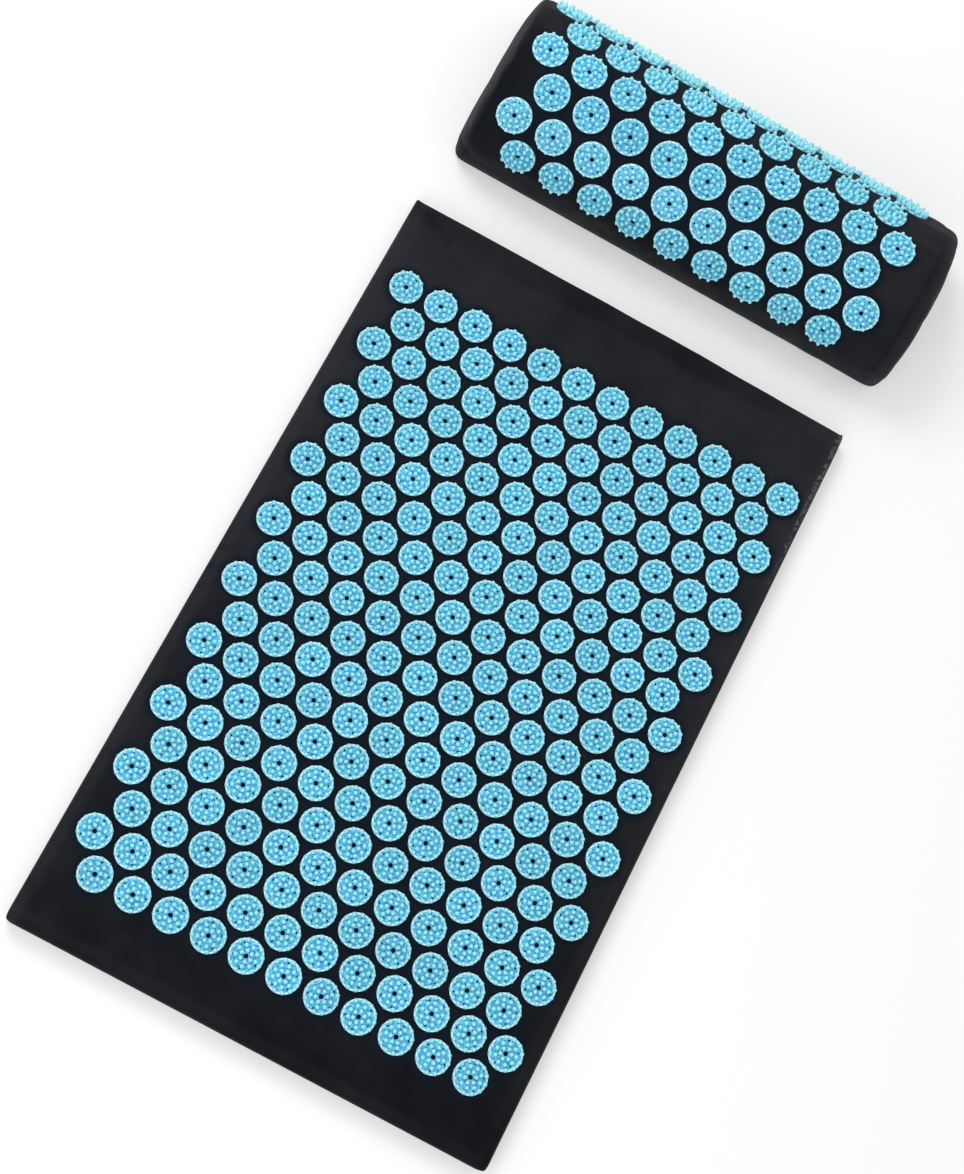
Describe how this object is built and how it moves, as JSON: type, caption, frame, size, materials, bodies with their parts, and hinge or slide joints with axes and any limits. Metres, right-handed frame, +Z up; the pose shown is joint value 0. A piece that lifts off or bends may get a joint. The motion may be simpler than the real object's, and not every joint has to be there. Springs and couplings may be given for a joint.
{
  "type": "acupressure mat",
  "caption": "Flat foam acupressure mat that folds in half, with a half-round neck pillow, both covered in black cotton and set with rows of round spiked plastic discs.",
  "frame": {"origin": "on the floor, at the middle of the footprint of the mat and pillow together", "axes": "+Z up; X across the mat's width; +Y from the mat's foot end towards its head end and the pillow"},
  "size_m": [0.42, 0.9012, 0.1093],
  "materials": {
    "cover": "matte",
    "foam": "matte",
    "discs": "satin",
    "zip_tape": "matte",
    "zip_coil": "satin",
    "zip_metal": "satin"
  },
  "bodies": {
    "mat_foot_half": {"mat_bottom_cover_foot": "cover", "mat_foam_foot": "foam", "mat_top_cover_foot": "cover", "mat_disc_row_01": "discs", "mat_disc_row_02": "discs", "mat_disc_row_03": "discs", "mat_disc_row_04": "discs", "mat_disc_row_05": "discs", "mat_disc_row_06": "discs", "mat_disc_row_07": "discs", "mat_disc_row_08": "discs", "mat_disc_row_09": "discs", "mat_disc_row_10": "discs"},
    "mat_head_half": {"mat_bottom_cover_head": "cover", "mat_foam_head": "foam", "mat_top_cover_head": "cover", "mat_disc_row_11": "discs", "mat_disc_row_12": "discs", "mat_disc_row_13": "discs", "mat_disc_row_14": "discs", "mat_disc_row_15": "discs", "mat_disc_row_16": "discs", "mat_disc_row_17": "discs", "mat_disc_row_18": "discs", "mat_disc_row_19": "discs", "mat_disc_row_20": "discs", "mat_zip_tape_upper": "zip_tape", "mat_zip_tape_lower": "zip_tape", "mat_zip_coil_upper": "zip_coil", "mat_zip_coil_lower": "zip_coil", "mat_zip_stop_left": "zip_coil", "mat_zip_stop_right": "zip_coil"},
    "mat_zip_slider": {"mat_zip_slider": "zip_metal"},
    "mat_zip_pull": {"mat_zip_pull": "zip_metal"},
    "pillow": {"pillow_base_panel": "cover", "pillow_arched_cover": "cover", "pillow_left_end_panel": "cover", "pillow_right_end_panel": "cover", "pillow_foam_core": "foam", "pillow_disc_row_1": "discs", "pillow_disc_row_2": "discs", "pillow_disc_row_3": "discs", "pillow_disc_row_4": "discs", "pillow_disc_row_5": "discs", "pillow_disc_row_6": "discs", "pillow_disc_row_7": "discs", "pillow_zip_tape_upper": "zip_tape", "pillow_zip_tape_lower": "zip_tape", "pillow_zip_coil_upper": "zip_coil", "pillow_zip_coil_lower": "zip_coil", "pillow_zip_stop_left": "zip_coil", "pillow_zip_stop_right": "zip_coil"},
    "pillow_zip_slider": {"pillow_zip_slider": "zip_metal"},
    "pillow_zip_pull": {"pillow_zip_pull": "zip_metal"}
  },
  "joints": [
    {"name": "mat_fold", "type": "hinge", "parent": "mat_foot_half", "child": "mat_head_half", "pos_m": [0, -0.11822, 0.0265], "axis": [1, 0, 0], "range_deg": [0, 180]},
    {"name": "mat_zip_slide", "type": "slide", "parent": "mat_head_half", "child": "mat_zip_slider", "axis": [-1, 0, 0], "range_m": [0, 0.369]},
    {"name": "mat_zip_pull_swing", "type": "hinge", "parent": "mat_zip_slider", "child": "mat_zip_pull", "pos_m": [0.1849, 0.23587, 0.00815], "axis": [0, 0, -1], "range_deg": [0, 180]},
    {"name": "pillow_slide", "type": "slide", "parent": "mat_foot_half", "child": "pillow", "axis": [0, 1, 0], "range_m": [-0.025, 0.15]},
    {"name": "pillow_zip_slide", "type": "slide", "parent": "pillow", "child": "pillow_zip_slider", "axis": [-1, 0, 0], "range_m": [0, 0.343]},
    {"name": "pillow_zip_pull_swing", "type": "hinge", "parent": "pillow_zip_slider", "child": "pillow_zip_pull", "pos_m": [0.17485, 0.44692, 0.0076], "axis": [0, 0, -1], "range_deg": [0, 180]}
  ]
}
